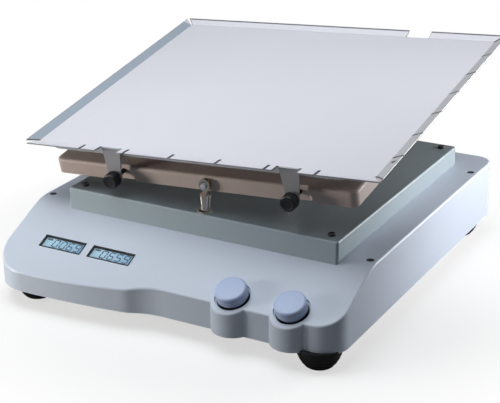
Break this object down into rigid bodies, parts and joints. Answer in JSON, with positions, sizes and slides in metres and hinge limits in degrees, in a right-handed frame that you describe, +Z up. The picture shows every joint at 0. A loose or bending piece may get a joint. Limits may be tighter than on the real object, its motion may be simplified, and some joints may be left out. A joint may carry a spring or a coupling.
{
  "type": "rocking shaker",
  "caption": "Bench rocking shaker: low moulded base with sloping display panel and knobs, raised metal deck and a tilted clamp-on tray whose low side travels round.",
  "frame": {"origin": "on the bench under the middle of the body's footprint", "axes": "+Z up, front panel towards -Y, +X to the right seen from the front; drive axis parallel to +Z at x 4 mm, y 32 mm"},
  "size_m": [0.3983, 0.4243, 0.2281],
  "materials": {
    "housing_plastic": "satin moulded plastic",
    "knob_plastic": "satin moulded plastic",
    "deck_paint": "satin grey paint on sheet steel",
    "tray_paint": "satin white paint on sheet steel",
    "plate_paint": "satin warm grey paint on folded sheet",
    "sheet_steel": "zinc plated sheet",
    "machined_steel": "turned",
    "bearing_steel": "ground",
    "chromed_steel": "polished chrome",
    "screw_steel": "blackened",
    "cast_aluminium": "cast and machined",
    "motor_paint": "black",
    "black_rubber": "matt",
    "black_plastic": "matt",
    "bush_plastic": "satin",
    "display_glass": "clear",
    "display_face": "pale blue display",
    "board_green": "solder mask"
  },
  "bodies": {
    "base": {"upper_housing": "housing_plastic", "base_plate": "sheet_steel", "rubber_feet": "black_rubber", "foot_screws": "screw_steel", "housing_screws": "screw_steel", "screw_caps": "black_plastic", "deck_cover": "deck_paint", "deck_pillars": "machined_steel", "deck_screws": "screw_steel", "display_frames": "black_plastic", "display_windows": "display_glass", "display_modules": "display_face", "control_board": "board_green", "board_standoffs": "machined_steel", "encoder_bodies": "black_plastic", "knob_washers": "black_rubber", "bridge_plate": "sheet_steel", "bridge_pillars": "machined_steel", "lower_bearing_housing": "cast_aluminium", "upper_bearing_housing": "cast_aluminium", "chassis_screws": "screw_steel", "drive_bearing_outers": "bearing_steel", "shaft_seal": "black_rubber", "motor_housing": "motor_paint", "motor_bracket": "sheet_steel", "drive_belt": "black_rubber", "power_board": "board_green", "mains_inlet": "black_plastic", "switch_frame": "black_plastic", "guide_bush": "bush_plastic"},
    "rotor": {"drive_shaft": "machined_steel", "tilt_head": "machined_steel", "stub_nut": "machined_steel", "drive_pulley": "cast_aluminium", "drive_bearing_inners": "bearing_steel", "platform_bearing_inners": "bearing_steel"},
    "platform": {"platform_hub": "cast_aluminium", "hub_cap": "machined_steel", "hub_screws": "screw_steel", "platform_bearing_outers": "bearing_steel", "rocking_plate": "plate_paint", "plate_spacers": "machined_steel", "support_pan": "sheet_steel", "tray": "tray_paint", "ball_stud": "machined_steel"},
    "rod_seat": {"rod_seat": "bush_plastic"},
    "guide_rod": {"guide_rod": "chromed_steel"},
    "speed_shaft": {"speed_shaft": "machined_steel"},
    "speed_knob": {"speed_knob": "knob_plastic"},
    "time_shaft": {"time_shaft": "machined_steel"},
    "time_knob": {"time_knob": "knob_plastic"},
    "switch_rocker": {"switch_rocker": "black_plastic"},
    "motor_rotor": {"motor_shaft": "machined_steel", "motor_pulley": "cast_aluminium"},
    "thumb_screw_front_left": {"thumb_screw_front_left": "black_plastic"},
    "thumb_screw_front_right": {"thumb_screw_front_right": "black_plastic"},
    "thumb_screw_back_right": {"thumb_screw_back_right": "black_plastic"}
  },
  "joints": [
    {"name": "drive_spin", "type": "hinge", "parent": "base", "child": "rotor", "pos_m": [0.004, 0.032, 0.095], "axis": [0, 0, 1], "continuous": true},
    {"name": "platform_spin", "type": "hinge", "parent": "rotor", "child": "platform", "pos_m": [0.004, 0.032, 0.1525], "axis": [-0.0706, -0.1586, 0.9848], "continuous": true},
    {"name": "seat_spin", "type": "hinge", "parent": "platform", "child": "rod_seat", "pos_m": [0.00484, -0.11491, 0.1289], "axis": [-0.0706, -0.1586, 0.9848], "continuous": true},
    {"name": "rod_spin", "type": "hinge", "parent": "rod_seat", "child": "guide_rod", "pos_m": [0.00484, -0.11491, 0.1289], "axis": [0, 0, 1], "continuous": true},
    {"name": "motor_spin", "type": "hinge", "parent": "base", "child": "motor_rotor", "pos_m": [0.004, 0.127, 0.056], "axis": [0, 0, 1], "continuous": true},
    {"name": "switch_tip", "type": "hinge", "parent": "base", "child": "switch_rocker", "pos_m": [0.07, 0.21, 0.049], "axis": [1, 0, 0], "range_deg": [0, 18]},
    {"name": "speed_turn", "type": "hinge", "parent": "base", "child": "speed_shaft", "pos_m": [0.072, -0.181, 0.0524], "axis": [0, -0.4067, 0.9135], "continuous": true},
    {"name": "speed_press", "type": "slide", "parent": "speed_shaft", "child": "speed_knob", "axis": [0, 0.4067, -0.9135], "range_m": [0, 0.001], "stiffness_N_per_m": 2000, "springref_m": -0.0005},
    {"name": "time_turn", "type": "hinge", "parent": "base", "child": "time_shaft", "pos_m": [0.134, -0.181, 0.0524], "axis": [0, -0.4067, 0.9135], "continuous": true},
    {"name": "time_press", "type": "slide", "parent": "time_shaft", "child": "time_knob", "axis": [0, 0.4067, -0.9135], "range_m": [0, 0.001], "stiffness_N_per_m": 2000, "springref_m": -0.0005},
    {"name": "thumb_turn_front_left", "type": "hinge", "parent": "platform", "child": "thumb_screw_front_left", "pos_m": [-0.09491, -0.11956, 0.1215], "axis": [0.0056, -0.9873, -0.1586], "continuous": true},
    {"name": "thumb_turn_front_right", "type": "hinge", "parent": "platform", "child": "thumb_screw_front_right", "pos_m": [0.10458, -0.12069, 0.13563], "axis": [0.0056, -0.9873, -0.1586], "continuous": true},
    {"name": "thumb_turn_back_right", "type": "hinge", "parent": "platform", "child": "thumb_screw_back_right", "pos_m": [0.10284, 0.1834, 0.18449], "axis": [-0.0056, 0.9873, 0.1586], "continuous": true}
  ],
  "couplings": [
    {"joint": "platform_spin", "follows": "drive_spin", "ratio": -1},
    {"joint": "seat_spin", "follows": "drive_spin", "ratio": 1},
    {"joint": "rod_spin", "follows": "drive_spin", "ratio": -1},
    {"joint": "motor_spin", "follows": "drive_spin", "ratio": 4}
  ]
}
